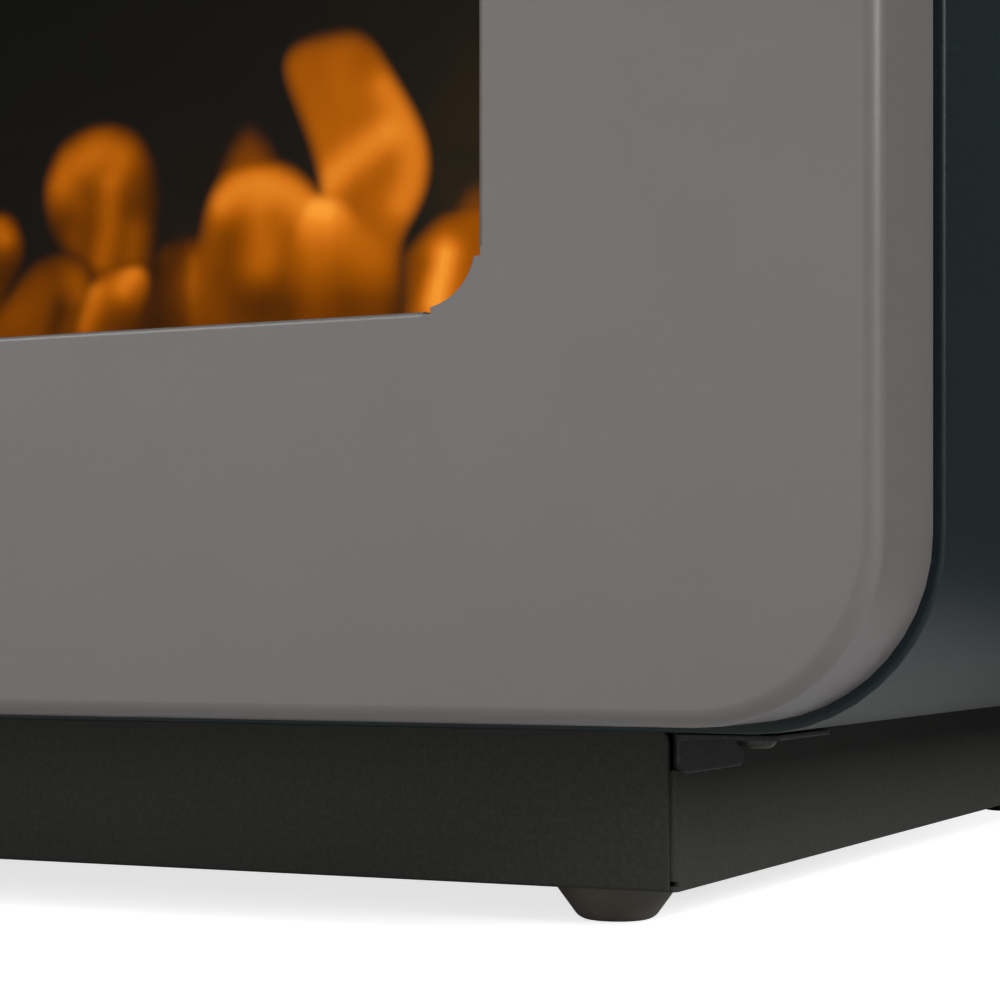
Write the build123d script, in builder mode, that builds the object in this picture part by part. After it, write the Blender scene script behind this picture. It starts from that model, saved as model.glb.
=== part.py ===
from build123d import *
import os

# Free-standing bioethanol fireplace, in millimetres.
# X runs to the viewer's right, Y to the rear, Z up. The origin is on the floor, under the middle.

# ---- overall sizes -------------------------------------------------------------------------
casing_width = 900.0
casing_height = 545.0
overall_depth = 385.0  # panel face to the heads of the rear screws
plinth_height = 30.0
foot_height = 7.0

# ---- sheet thicknesses ---------------------------------------------------------------------
panel_sheet = 1.2
casing_sheet = 1.2
back_sheet = 1.0
plinth_sheet = 1.0
liner_sheet = 1.2
hearth_sheet = 2.0
support_sheet = 1.5
shield_sheet = 1.0
spill_sheet = 1.0
burner_sheet = 1.5
burner_plate_sheet = 2.0
grille_sheet = 1.0
slide_sheet = 1.5
rail_sheet = 1.2

# ---- front panel ---------------------------------------------------------------------------
panel_reveal = 2.15  # width of casing left visible round the panel
panel_depth = 30.0
panel_corner = 32.0
panel_bend = 3.0  # outer radius where the face turns into the side flange
window_border = 70.0
window_corner = 10.5
window_corner_lap = 0.4  # the unfolded corners reach this far into the window
window_return = 10.0  # depth of the folded window edges
window_bend = 1.2  # outer radius of the folded edges
window_corner_length = 10.3  # from the window's corner to the end of a folded edge
notch_width = 1.5
notch_depth = 0.5
notch_bend_room = 0.1  # the notches are first cut this far past the bend

# ---- casing --------------------------------------------------------------------------------
casing_lip = 22.0
casing_bend = 0.9
casing_rear_flange = 20.0
back_panel_inset = 6.0

# ---- plinth, brackets and feet -------------------------------------------------------------
plinth_side_inset = 55.0  # casing side to plinth side
plinth_front_inset = 47.0  # panel face to plinth face
plinth_rear_inset = 2.6  # casing rear edge to plinth rear
plinth_bend = 1.1
plinth_joint = 0.2  # gap between the front sheet and the side's bend
plinth_flange = 15.0
foot_flange = 32.0
plinth_face_corner = 2.7
plinth_edge = 0.8  # radius of the lower outside edges
plinth_slot_height = 7.7  # relief above the side's end flanges
plinth_relief = 0.9  # relief between the side's end flanges and its foot flange
flange_gap = 1.0  # between flanges that meet at a corner
bracket_sheet = 1.0
bracket_length = 34.0
bracket_width = 19.0
bracket_drop = 7.4
bracket_gap = 1.0  # casing to bracket, so that the screw pulls the plinth tight
bracket_corner = 3.0
bracket_setback = 0.7  # plinth face to bracket
foot_side_inset = 17.4
foot_front_inset = 14.5
foot_top_radius = 12.1
foot_base_radius = 7.0  # where the taper would meet the floor
foot_edge = 3.2  # radius between the taper and the floor
foot_recess_height = 3.2

# ---- firebox -------------------------------------------------------------------------------
liner_corner_gap = 1.8  # firebox flange to the start of the casing's corner
liner_front_gap = 1.0  # folded window edge to firebox wall
liner_back_gap = 40.0  # casing rear edge to firebox back
hearth_drop = 4.0  # window edge down to the hearth plate
ceiling_rise = 15.0  # window edge up to the firebox top
liner_flange = 15.0
hearth_apron = 25.0
support_flange = 34.0
support_front_gap = 4.0  # bracket nut to hearth carrier
support_rear_gap = 12.0
liner_screw_inset = 25.0  # from the ends of the pieces they join
shield_spacing = 20.0
shield_inset = 25.0
shield_screw_inset = 30.0
shield_spacer_radius = 5.0
spill_height = 11.0
spill_margin = 10.0
spill_corner = 6.0
spill_gap = 4.0  # spill tray to burner tank

# ---- back panel ----------------------------------------------------------------------------
vent_length = 70.0
vent_width = 5.0
vent_pitch_x = 90.0
vent_pitch_z = 14.0
vent_rows = 4
vent_inset = 60.0  # flange opening's edge to the middle of a vent field

# ---- burner --------------------------------------------------------------------------------
slot_width = 46.0
slot_side_gap = 78.0  # window side to the end of the slot
slot_front_gap = 133.5  # firebox front to the slot
slide_lap = 4.0  # how far the closed cover passes the slot
slide_clearance = 0.3
slide_under_gap = 0.2
slide_corner = 3.0
tank_side_margin = 10.0  # slot end to tank wall
tank_front_margin = 10.0
tank_corner = 8.0
burner_plate_margin = 14.0  # tank wall to plate edge
burner_plate_corner = 10.0
burner_plate_edge = 9.0  # rail end to the plate's rear edge
hearth_clearance = 2.5
wool_gap = 1.0
wool_drop = 15.0  # plate's underside down to the grille
grille_hole_radius = 3.0
grille_pitch_x = 12.0
grille_pitch_y = 10.0
grille_rows = 3
rail_lip = 5.0
rail_foot = 12.0
rail_screw_radius = 1.5
rail_screw_head_radius = 2.8
rail_screw_head_height = 1.6
rail_screw_inset = 12.0
lug_setback = 8.0
lug_width = 24.0
lug_height = 14.0
lug_hole_radius = 4.5

# ---- fasteners -----------------------------------------------------------------------------
screw_radius = 2.0
screw_head_radius = 3.8
screw_head_height = 2.2
screw_head_round = 1.76
screw_head_clearance = 0.4
screw_hex_flats = 2.5
screw_hex_depth = 1.3
screw_end = 3.0  # thread that stands out past the last sheet
nut_flats = 7.0
nut_height = 3.2
angle_sheet = 1.5
angle_length = 24.0
angle_clearance = 3.0  # panel angle to the casing lip's inner edge

# ---- places worked out from the sizes ------------------------------------------------------
plinth_bottom = foot_height
plinth_top = plinth_bottom + plinth_height
casing_bottom = plinth_top
casing_top = casing_bottom + casing_height
casing_middle = (casing_bottom + casing_top) / 2
casing_half = casing_width / 2
panel_face = -overall_depth / 2
casing_front = panel_face + panel_depth
casing_rear = overall_depth / 2 - screw_head_height - back_sheet
panel_width = casing_width - 2 * panel_reveal
panel_height = casing_height - 2 * panel_reveal
casing_corner = panel_corner + panel_reveal
window_width = panel_width - 2 * window_border
window_height = panel_height - 2 * window_border
window_bottom = casing_middle - window_height / 2
window_top = casing_middle + window_height / 2
notch_cut = window_bend + notch_bend_room

plinth_half = casing_half - plinth_side_inset
plinth_front_y = panel_face + plinth_front_inset
plinth_rear_y = casing_rear - plinth_rear_inset
plinth_middle_y = (plinth_front_y + plinth_rear_y) / 2
foot_x = plinth_half - foot_side_inset
foot_y = (plinth_front_y + foot_front_inset, plinth_rear_y - foot_front_inset)
bracket_top = plinth_top - bracket_gap
bracket_screw_x = plinth_half + bracket_width / 2
bracket_middle_offset = bracket_setback + bracket_length / 2
bracket_y = (plinth_front_y + bracket_middle_offset, plinth_rear_y - bracket_middle_offset)

liner_edge = casing_half - casing_corner - liner_corner_gap
liner_half = liner_edge - liner_flange - liner_sheet
liner_front = panel_face + window_return + liner_front_gap
liner_back = casing_rear - liner_back_gap
hearth_top = window_bottom - hearth_drop
hearth_under = hearth_top - hearth_sheet
ceiling = window_top + ceiling_rise
support_front = bracket_y[0] + nut_flats / 2 + support_front_gap
support_rear = liner_back - support_rear_gap

spill_bottom = casing_bottom + casing_sheet
slot_length = window_width - 2 * slot_side_gap
slot_front = liner_front + slot_front_gap
slot_rear = slot_front + slot_width
slot_middle = (slot_front + slot_rear) / 2
slide_length = slot_length + 2 * slide_lap
slide_depth = slot_width + 2 * slide_lap
slide_front = slot_rear + slide_lap  # front edge of the open cover
rail_front = slot_front - slide_lap - slide_clearance
rail_rear = slide_front + slide_depth + slide_clearance
rail_wall_x = slide_length / 2 + slide_clearance
tank_half = slot_length / 2 + tank_side_margin
tank_front = slot_front - tank_front_margin
tank_rear = rail_rear + rail_sheet + burner_plate_edge - burner_plate_margin
tank_length = tank_rear - tank_front
tank_middle = (tank_front + tank_rear) / 2
tank_bottom = spill_bottom + spill_height + spill_gap
tank_height = hearth_top - tank_bottom
wool_height = tank_height - burner_sheet - grille_sheet - wool_drop
plate_top = hearth_top + burner_plate_sheet
slide_bottom = plate_top + slide_under_gap
rail_height = slide_under_gap + slide_sheet + slide_clearance


def upright(y):
    """A plane that faces the viewer at depth y: its own x is X and its own y is Z."""
    return Plane(origin=(0, y, 0), x_dir=(1, 0, 0), z_dir=(0, -1, 0))


def rounded_outline(width, height, corner):
    """A rounded rectangle about the casing's middle."""
    with Locations((0, casing_middle)):
        RectangleRounded(width, height, corner)


def save(builder, name):
    """Label a finished piece and write it to its own file."""
    builder.part.label = name
    export_step(builder.part, f"parts/{name}.step")


def button_screw(length):
    """A button-head screw: its head stands on Z = 0 and its shank points down."""
    with BuildPart() as screw:
        with BuildSketch():
            Circle(screw_head_radius)
        extrude(amount=screw_head_height)
        fillet(screw.faces().sort_by(Axis.Z)[-1].edges(), screw_head_round)
        with BuildSketch(Plane.XY.offset(screw_head_height)):
            RegularPolygon(screw_hex_flats / 2, 6, major_radius=False)
        extrude(amount=-screw_hex_depth, mode=Mode.SUBTRACT)
        with BuildSketch():
            Circle(screw_radius)
        extrude(amount=-length)
    return screw.part


def hex_nut():
    """A plain nut that stands on Z = 0."""
    with BuildPart() as nut:
        with BuildSketch():
            RegularPolygon(nut_flats / 2, 6, major_radius=False)
            Circle(screw_radius, mode=Mode.SUBTRACT)
        extrude(amount=nut_height)
    return nut.part


def group(template, planes):
    """Copies of one fastener, each on its own plane, as separate solids in one piece."""
    with BuildPart() as fasteners:
        with Locations(*planes):
            add(template)
    return fasteners


def facing(points, direction):
    """One plane for each point, with its Z along the direction."""
    return [Plane(origin=point, z_dir=direction) for point in points]


os.makedirs("parts", exist_ok=True)

# ---- places of the fasteners ---------------------------------------------------------------
sides = (-1, 1)
bracket_points = [(side * bracket_screw_x, y) for side in sides for y in bracket_y]
foot_points = [(side * foot_x, y) for side in sides for y in foot_y]

back_screw_inset = (back_panel_inset + casing_rear_flange) / 2
back_screw_x = casing_half - back_screw_inset
back_screw_z = casing_height / 2 - back_screw_inset
back_screw_steps = (-casing_width / 3, 0, casing_width / 3)
back_points = [(x, casing_middle + side * back_screw_z) for x in back_screw_steps for side in sides]
back_points += [(side * back_screw_x, casing_middle) for side in sides]

angle_leg = casing_lip - panel_reveal - panel_sheet - angle_clearance
angle_edge_x = panel_width / 2 - panel_sheet
angle_edge_z = panel_height / 2 - panel_sheet
angle_step_x = panel_width / 3
angle_step_z = panel_height / 4
angle_middle_x = angle_edge_x - angle_leg / 2
angle_middle_z = angle_edge_z - angle_leg / 2
angle_points_across = [(a * angle_step_x, casing_middle + b * angle_middle_z) for a in sides for b in sides]
angle_points_beside = [(a * angle_middle_x, casing_middle + b * angle_step_z) for a in sides for b in sides]
angle_points = angle_points_across + angle_points_beside

liner_screw_x = liner_half + liner_sheet + liner_flange / 2


def right_side(points):
    """The points that lie on the right half."""
    return [point for point in points if point[0] > 0]


def three_steps(low, high):
    """Two places inside the ends of a span and one in its middle."""
    return (low + liner_screw_inset, (low + high) / 2, high - liner_screw_inset)


liner_points = [(side * liner_screw_x, y) for side in sides for y in three_steps(support_front, support_rear)]
top_points = [(side * liner_screw_x, y) for side in sides for y in three_steps(liner_front, liner_back)]
wall_points = [(side * liner_screw_x, z) for side in sides for z in three_steps(hearth_top, ceiling)]

shield_half = liner_half - shield_inset
shield_front = liner_front + shield_inset
shield_rear = liner_back - shield_inset
shield_bottom = ceiling + liner_sheet + shield_spacing
shield_screw_x = shield_half - shield_screw_inset
shield_screw_y = (shield_front + shield_screw_inset, shield_rear - shield_screw_inset)
shield_points = [(side * shield_screw_x, y) for side in sides for y in shield_screw_y]

rail_screw_x = rail_wall_x + (rail_foot + rail_sheet) / 2
rail_screw_y = (rail_front + rail_screw_inset, rail_rear - rail_screw_inset)
rail_points = [(side * rail_screw_x, y) for side in sides for y in rail_screw_y]

# ---- front panel ---------------------------------------------------------------------------
fold_width = window_width - 2 * window_corner_length
fold_height = window_height - 2 * window_corner_length

with BuildPart() as front_panel:
    with BuildSketch(upright(panel_face)):
        rounded_outline(panel_width, panel_height, panel_corner)
    extrude(amount=-panel_depth)
    fillet(front_panel.faces().sort_by(Axis.Y)[0].edges(), panel_bend)
    offset(amount=-panel_sheet, openings=front_panel.faces().sort_by(Axis.Y)[-1])
    # the window, with plain rounded corners and a relief notch at each end of each folded edge
    with BuildSketch(upright(panel_face)):
        plain_width = window_width - 2 * window_corner_lap
        plain_height = window_height - 2 * window_corner_lap
        rounded_outline(plain_width, plain_height, window_corner)
        with Locations((0, casing_middle)):
            Rectangle(fold_width, window_height)
            Rectangle(window_width, fold_height)
            with GridLocations(fold_width + notch_width, window_height, 2, 2):
                Rectangle(notch_width, 2 * notch_cut)
            with GridLocations(window_width, fold_height + notch_width, 2, 2):
                Rectangle(2 * notch_cut, notch_width)
    extrude(amount=-panel_sheet, mode=Mode.SUBTRACT)
    # the folded edges
    with BuildSketch(upright(panel_face)):
        with Locations((0, casing_middle)):
            with GridLocations(0, window_height + panel_sheet, 1, 2):
                Rectangle(fold_width, panel_sheet)
            with GridLocations(window_width + panel_sheet, 0, 2, 1):
                Rectangle(panel_sheet, fold_height)
    extrude(amount=-window_return)
    face_edges = front_panel.faces().sort_by(Axis.Y)[0].edges()
    folds_across = face_edges.filter_by(Axis.X).filter_by(lambda edge: abs(edge.length - fold_width) < 0.01)
    folds_upright = face_edges.filter_by(Axis.Z).filter_by(lambda edge: abs(edge.length - fold_height) < 0.01)
    fillet(folds_across + folds_upright, window_bend)
    # the notches filled again up to their own depth
    notch_fill = notch_cut - notch_depth
    with BuildSketch(upright(panel_face)):
        with Locations((0, casing_middle)):
            with GridLocations(fold_width + notch_width, window_height + notch_cut + notch_depth, 2, 2):
                Rectangle(notch_width, notch_fill)
            with GridLocations(window_width + notch_cut + notch_depth, fold_height + notch_width, 2, 2):
                Rectangle(notch_fill, notch_width)
    extrude(amount=-panel_sheet)
save(front_panel, "front_panel")

# ---- angles and screws that hold the panel on the casing lip --------------------------------
with BuildPart() as panel_angles:
    with BuildSketch(upright(casing_front)):
        with Locations(*angle_points_across):
            Rectangle(angle_length, angle_leg)
        with Locations(*angle_points_beside):
            Rectangle(angle_leg, angle_length)
        with Locations(*angle_points):
            Circle(screw_radius, mode=Mode.SUBTRACT)
    extrude(amount=angle_sheet)
    with BuildSketch(upright(casing_front)):
        with Locations((0, casing_middle)):
            with GridLocations(2 * angle_step_x, 2 * angle_edge_z - angle_sheet, 2, 2):
                Rectangle(angle_length, angle_sheet)
            with GridLocations(2 * angle_edge_x - angle_sheet, 2 * angle_step_z, 2, 2):
                Rectangle(angle_sheet, angle_length)
    extrude(amount=angle_leg)
save(panel_angles, "panel_angles")

panel_seats = facing([(x, casing_front + casing_sheet, z) for x, z in angle_points], (0, 1, 0))
panel_screws = group(button_screw(casing_sheet + angle_sheet + screw_end), panel_seats)
save(panel_screws, "panel_screws")

# ---- casing --------------------------------------------------------------------------------
casing_length = casing_rear - casing_front
inner_width = casing_width - 2 * casing_sheet
inner_height = casing_height - 2 * casing_sheet
front_opening = (casing_width - 2 * casing_lip, casing_height - 2 * casing_lip, casing_corner - casing_lip)
rear_opening_width = casing_width - 2 * casing_rear_flange
rear_opening_height = casing_height - 2 * casing_rear_flange

with BuildPart() as casing_shell:
    with BuildSketch(upright(casing_front)):
        rounded_outline(casing_width, casing_height, casing_corner)
    extrude(amount=-casing_length)
    fillet(casing_shell.faces().filter_by(Axis.Y).edges(), casing_bend)
    with BuildSketch(upright(casing_front + casing_sheet)):
        rounded_outline(inner_width, inner_height, casing_corner - casing_sheet)
    extrude(amount=2 * casing_sheet - casing_length, mode=Mode.SUBTRACT)
    with BuildSketch(upright(casing_front)):
        rounded_outline(*front_opening)
        with Locations(*angle_points):
            Circle(screw_radius)
    extrude(amount=-casing_sheet, mode=Mode.SUBTRACT)
    with BuildSketch(upright(casing_rear)):
        rounded_outline(rear_opening_width, rear_opening_height, casing_corner - casing_rear_flange)
        with Locations(*back_points):
            Circle(screw_radius)
    extrude(amount=casing_sheet, mode=Mode.SUBTRACT)
    with BuildSketch(Plane.XY.offset(casing_bottom)):
        with Locations(*bracket_points):
            Circle(screw_radius)
    extrude(amount=casing_sheet, mode=Mode.SUBTRACT)
save(casing_shell, "casing_shell")

nut_seats = facing([(x, y, casing_bottom + casing_sheet) for x, y in bracket_points], (0, 0, 1))
casing_weld_nuts = group(hex_nut(), nut_seats)
save(casing_weld_nuts, "casing_weld_nuts")

# ---- back panel with two fields of vent slots ----------------------------------------------
vent_columns = int((rear_opening_width - vent_length) // vent_pitch_x)
vent_field_z = rear_opening_height / 2 - vent_inset
back_width = casing_width - 2 * back_panel_inset
back_height = casing_height - 2 * back_panel_inset

with BuildPart() as back_panel:
    with BuildSketch(upright(casing_rear)):
        rounded_outline(back_width, back_height, casing_corner - back_panel_inset)
        with Locations((0, casing_middle - vent_field_z), (0, casing_middle + vent_field_z)):
            with GridLocations(vent_pitch_x, vent_pitch_z, vent_columns, vent_rows):
                SlotOverall(vent_length, vent_width, mode=Mode.SUBTRACT)
        with Locations(*back_points):
            Circle(screw_radius, mode=Mode.SUBTRACT)
    extrude(amount=-back_sheet)
save(back_panel, "back_panel")

back_seats = facing([(x, casing_rear + back_sheet, z) for x, z in back_points], (0, 1, 0))
back_panel_screws = group(button_screw(back_sheet + casing_sheet + screw_end), back_seats)
save(back_panel_screws, "back_panel_screws")

# ---- plinth face sheets --------------------------------------------------------------------
face_half = plinth_half - plinth_bend - plinth_joint

with BuildPart() as plinth_front:
    with BuildSketch(upright(plinth_front_y)):
        with Locations((0, (plinth_bottom + plinth_top) / 2)):
            face = Rectangle(2 * face_half, plinth_height)
        fillet(face.vertices().group_by(Axis.Y)[-1], plinth_face_corner)
    extrude(amount=-plinth_sheet)
    with BuildSketch(Plane.XY.offset(plinth_bottom)):
        with Locations((0, plinth_front_y + foot_flange / 2)):
            Rectangle(2 * (plinth_half - foot_flange - flange_gap), foot_flange)
    extrude(amount=plinth_sheet)
    with BuildSketch(Plane.XY.offset(plinth_top)):
        with Locations((0, plinth_front_y + plinth_flange / 2)):
            Rectangle(2 * (plinth_half - plinth_flange - flange_gap), plinth_flange)
    extrude(amount=-plinth_sheet)
    lower_edges = plinth_front.faces().sort_by(Axis.Y)[0].edges().group_by(Axis.Z)[0]
    fillet(lower_edges, plinth_edge)
save(plinth_front, "plinth_front")

with BuildPart() as plinth_back:
    mirror(plinth_front.part, about=Plane.XZ.offset(-plinth_middle_y))
save(plinth_back, "plinth_back")

# ---- plinth sides, whose end flanges stand behind the face sheets ---------------------------
side_front = plinth_front_y + plinth_sheet
side_rear = plinth_rear_y - plinth_sheet
side_length = side_rear - side_front
side_middle_x = plinth_half - plinth_flange / 2

with BuildPart() as plinth_side_right:
    with BuildSketch(Plane.XY.offset(plinth_bottom)):
        with Locations((side_middle_x, plinth_middle_y)):
            Rectangle(plinth_flange, side_length)
        with Locations((side_middle_x - plinth_sheet, plinth_middle_y)):
            Rectangle(plinth_flange, side_length - 2 * plinth_sheet, mode=Mode.SUBTRACT)
    extrude(amount=plinth_height)
    upright_edges = plinth_side_right.edges().filter_by(Axis.Z).group_by(Axis.X)[-1]
    fillet(upright_edges, plinth_bend)
    # a slot above each end flange and a relief below it
    bend_rows = (side_front + plinth_bend / 2, side_rear - plinth_bend / 2)
    with BuildSketch(Plane.XY.offset(plinth_top)):
        with Locations(*[(side_middle_x, y) for y in bend_rows]):
            Rectangle(plinth_flange, plinth_bend)
    extrude(amount=-plinth_slot_height, mode=Mode.SUBTRACT)
    with BuildSketch(Plane.XY.offset(plinth_bottom + plinth_sheet)):
        with Locations(*[(side_middle_x, y) for y in bend_rows]):
            Rectangle(plinth_flange, plinth_bend)
    extrude(amount=plinth_relief, mode=Mode.SUBTRACT)
    with BuildSketch(Plane.XY.offset(plinth_bottom)):
        with Locations((plinth_half - foot_flange / 2, plinth_middle_y)):
            sole = Rectangle(foot_flange, side_length)
            fillet(sole.vertices().group_by(Axis.X)[-1], plinth_bend)
        with Locations(*right_side(foot_points)):
            Circle(screw_radius, mode=Mode.SUBTRACT)
    extrude(amount=plinth_sheet)
    with BuildSketch(Plane.XY.offset(plinth_top)):
        with Locations((side_middle_x, plinth_middle_y)):
            Rectangle(plinth_flange, side_length - 2 * plinth_flange)
    extrude(amount=-plinth_sheet)
save(plinth_side_right, "plinth_side_right")

with BuildPart() as plinth_side_left:
    mirror(plinth_side_right.part, about=Plane.YZ)
save(plinth_side_left, "plinth_side_left")


# ---- angle brackets outside the plinth -----------------------------------------------------
def plinth_bracket(side, y):
    """One angle: a leg under the casing and a short drop on the plinth's side."""
    with BuildPart() as bracket:
        with BuildSketch(Plane.XY.offset(bracket_top)):
            with Locations((side * bracket_screw_x, y)):
                leg = Rectangle(bracket_width, bracket_length)
                fillet(leg.vertices().group_by(Axis.X)[-1 if side > 0 else 0], bracket_corner)
                Circle(screw_radius, mode=Mode.SUBTRACT)
        extrude(amount=-bracket_sheet)
        with BuildSketch(Plane.YZ.offset(side * plinth_half)):
            with Locations((y, bracket_top - bracket_drop / 2)):
                drop = Rectangle(bracket_length, bracket_drop)
                fillet(drop.vertices().group_by(Axis.Y)[0], bracket_corner)
        extrude(amount=side * bracket_sheet)
    return bracket


for side, side_name in zip(sides, ("left", "right")):
    for y, end_name in zip(bracket_y, ("front", "rear")):
        save(plinth_bracket(side, y), f"bracket_{end_name}_{side_name}")

bracket_seats = facing([(x, y, bracket_top - bracket_sheet) for x, y in bracket_points], (0, 0, -1))
bracket_screw_length = bracket_sheet + bracket_gap + casing_sheet + nut_height
bracket_screws = group(button_screw(bracket_screw_length), bracket_seats)
save(bracket_screws, "bracket_screws")


# ---- feet ----------------------------------------------------------------------------------
def rubber_foot(x, y):
    """One tapered foot with a recess for its screw."""
    recess_radius = screw_head_radius + screw_head_clearance
    with BuildPart() as foot:
        with BuildSketch(Plane(origin=(x, y, 0), x_dir=(1, 0, 0), z_dir=(0, -1, 0))) as half:
            with BuildLine():
                Polyline(
                    (screw_radius, foot_height),
                    (foot_top_radius, foot_height),
                    (foot_base_radius, 0),
                    (recess_radius, 0),
                    (recess_radius, foot_recess_height),
                    (screw_radius, foot_recess_height),
                    close=True,
                )
            make_face()
            fillet(half.vertices().sort_by_distance((foot_base_radius, 0))[0], foot_edge)
        revolve(axis=Axis((x, y, 0), (0, 0, 1)))
    return foot


for side, side_name in zip(sides, ("left", "right")):
    for y, end_name in zip(foot_y, ("front", "rear")):
        save(rubber_foot(side * foot_x, y), f"foot_{end_name}_{side_name}")

foot_seats = facing([(x, y, foot_recess_height) for x, y in foot_points], (0, 0, -1))
foot_screw_length = foot_height - foot_recess_height + plinth_sheet + nut_height
foot_screws = group(button_screw(foot_screw_length), foot_seats)
save(foot_screws, "foot_screws")

foot_nut_seats = facing([(x, y, plinth_bottom + plinth_sheet) for x, y in foot_points], (0, 0, 1))
foot_nuts = group(hex_nut(), foot_nut_seats)
save(foot_nuts, "foot_nuts")

# ---- hearth plate and its two carriers -----------------------------------------------------
liner_rear = liner_back + liner_sheet
liner_middle = (liner_front + liner_rear) / 2
apron_places = [(0, liner_front + hearth_sheet / 2), (0, liner_rear - hearth_sheet / 2)]

with BuildPart() as hearth_plate:
    with BuildSketch(Plane.XY.offset(hearth_top)):
        with Locations((0, liner_middle)):
            Rectangle(2 * liner_edge, liner_rear - liner_front)
        with Locations((0, tank_middle)):
            hole_length = 2 * (tank_half + hearth_clearance)
            hole_corner = tank_corner + hearth_clearance
            RectangleRounded(hole_length, tank_length + 2 * hearth_clearance, hole_corner, mode=Mode.SUBTRACT)
        with Locations(*liner_points):
            Circle(screw_radius, mode=Mode.SUBTRACT)
    extrude(amount=-hearth_sheet)
    with BuildSketch(Plane.XY.offset(hearth_top)):
        with Locations(*apron_places):
            Rectangle(2 * liner_half, hearth_sheet)
    extrude(amount=-hearth_apron)
save(hearth_plate, "hearth_plate")

support_bottom = casing_bottom + casing_sheet
support_height = hearth_under - support_bottom
support_middle_z = (support_bottom + hearth_under) / 2
support_middle_x = liner_edge - support_flange / 2

with BuildPart() as hearth_support_right:
    with BuildSketch(upright(support_front)):
        with Locations((support_middle_x, support_middle_z)):
            Rectangle(support_flange, support_height)
        with Locations((support_middle_x + support_sheet, support_middle_z)):
            Rectangle(support_flange, support_height - 2 * support_sheet, mode=Mode.SUBTRACT)
    extrude(amount=support_front - support_rear)
    with BuildSketch(Plane.XY.offset(hearth_under)):
        with Locations(*right_side(liner_points)):
            Circle(screw_radius)
    extrude(amount=-support_sheet, mode=Mode.SUBTRACT)
save(hearth_support_right, "hearth_support_right")

with BuildPart() as hearth_support_left:
    mirror(hearth_support_right.part, about=Plane.YZ)
save(hearth_support_left, "hearth_support_left")

# ---- firebox liner -------------------------------------------------------------------------
wall_height = ceiling - hearth_top
wall_middle_x = (liner_half + liner_edge) / 2
wall_middle_z = (hearth_top + ceiling) / 2
wall_flange = liner_edge - liner_half

with BuildPart() as firebox_side_right:
    with BuildSketch(upright(liner_front)):
        with Locations((wall_middle_x, wall_middle_z)):
            Rectangle(wall_flange, wall_height)
        with Locations((wall_middle_x + liner_sheet, wall_middle_z)):
            Rectangle(wall_flange, wall_height - 2 * liner_sheet, mode=Mode.SUBTRACT)
    extrude(amount=liner_front - liner_back)
    with BuildSketch(upright(liner_back)):
        with Locations((wall_middle_x, wall_middle_z)):
            Rectangle(wall_flange, wall_height)
        with Locations(*right_side(wall_points)):
            Circle(screw_radius, mode=Mode.SUBTRACT)
    extrude(amount=liner_sheet)
    with BuildSketch(Plane.XY.offset(hearth_top)):
        with Locations(*right_side(liner_points)):
            Circle(screw_radius)
    extrude(amount=liner_sheet, mode=Mode.SUBTRACT)
    with BuildSketch(Plane.XY.offset(ceiling)):
        with Locations(*right_side(top_points)):
            Circle(screw_radius)
    extrude(amount=-liner_sheet, mode=Mode.SUBTRACT)
save(firebox_side_right, "firebox_side_right")

with BuildPart() as firebox_side_left:
    mirror(firebox_side_right.part, about=Plane.YZ)
save(firebox_side_left, "firebox_side_left")

with BuildPart() as firebox_back:
    with BuildSketch(upright(liner_back)):
        with Locations((0, wall_middle_z)):
            Rectangle(2 * liner_edge, wall_height)
        with Locations(*wall_points):
            Circle(screw_radius, mode=Mode.SUBTRACT)
    extrude(amount=-liner_sheet)
save(firebox_back, "firebox_back")

with BuildPart() as firebox_top:
    with BuildSketch(Plane.XY.offset(ceiling)):
        with Locations((0, liner_middle)):
            Rectangle(2 * liner_edge, liner_rear - liner_front)
        with Locations(*top_points, *shield_points):
            Circle(screw_radius, mode=Mode.SUBTRACT)
    extrude(amount=liner_sheet)
    with BuildSketch(Plane.XY.offset(ceiling)):
        with Locations((0, liner_front + liner_sheet / 2)):
            Rectangle(2 * liner_edge, liner_sheet)
    extrude(amount=liner_flange)
save(firebox_top, "firebox_top")

liner_seats = facing([(x, y, hearth_top + liner_sheet) for x, y in liner_points], (0, 0, 1))
liner_screws = group(button_screw(liner_sheet + hearth_sheet + support_sheet + screw_end), liner_seats)
save(liner_screws, "liner_screws")

wall_seats = facing([(x, liner_rear, z) for x, z in wall_points], (0, 1, 0))
firebox_back_screws = group(button_screw(2 * liner_sheet + screw_end), wall_seats)
save(firebox_back_screws, "firebox_back_screws")

top_seats = facing([(x, y, ceiling + liner_sheet) for x, y in top_points], (0, 0, 1))
firebox_top_screws = group(button_screw(2 * liner_sheet + screw_end), top_seats)
save(firebox_top_screws, "firebox_top_screws")

# ---- heat shield above the firebox ---------------------------------------------------------
with BuildPart() as top_heat_shield:
    with BuildSketch(Plane.XY.offset(shield_bottom)):
        with Locations((0, (shield_front + shield_rear) / 2)):
            Rectangle(2 * shield_half, shield_rear - shield_front)
        with Locations(*shield_points):
            Circle(screw_radius, mode=Mode.SUBTRACT)
    extrude(amount=shield_sheet)
save(top_heat_shield, "top_heat_shield")

with BuildPart() as shield_spacers:
    with BuildSketch(Plane.XY.offset(ceiling + liner_sheet)):
        with Locations(*shield_points):
            Circle(shield_spacer_radius)
            Circle(screw_radius, mode=Mode.SUBTRACT)
    extrude(amount=shield_spacing)
save(shield_spacers, "shield_spacers")

shield_seats = facing([(x, y, shield_bottom + shield_sheet) for x, y in shield_points], (0, 0, 1))
shield_screws = group(button_screw(shield_sheet + shield_spacing + liner_sheet), shield_seats)
save(shield_screws, "shield_screws")

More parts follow.
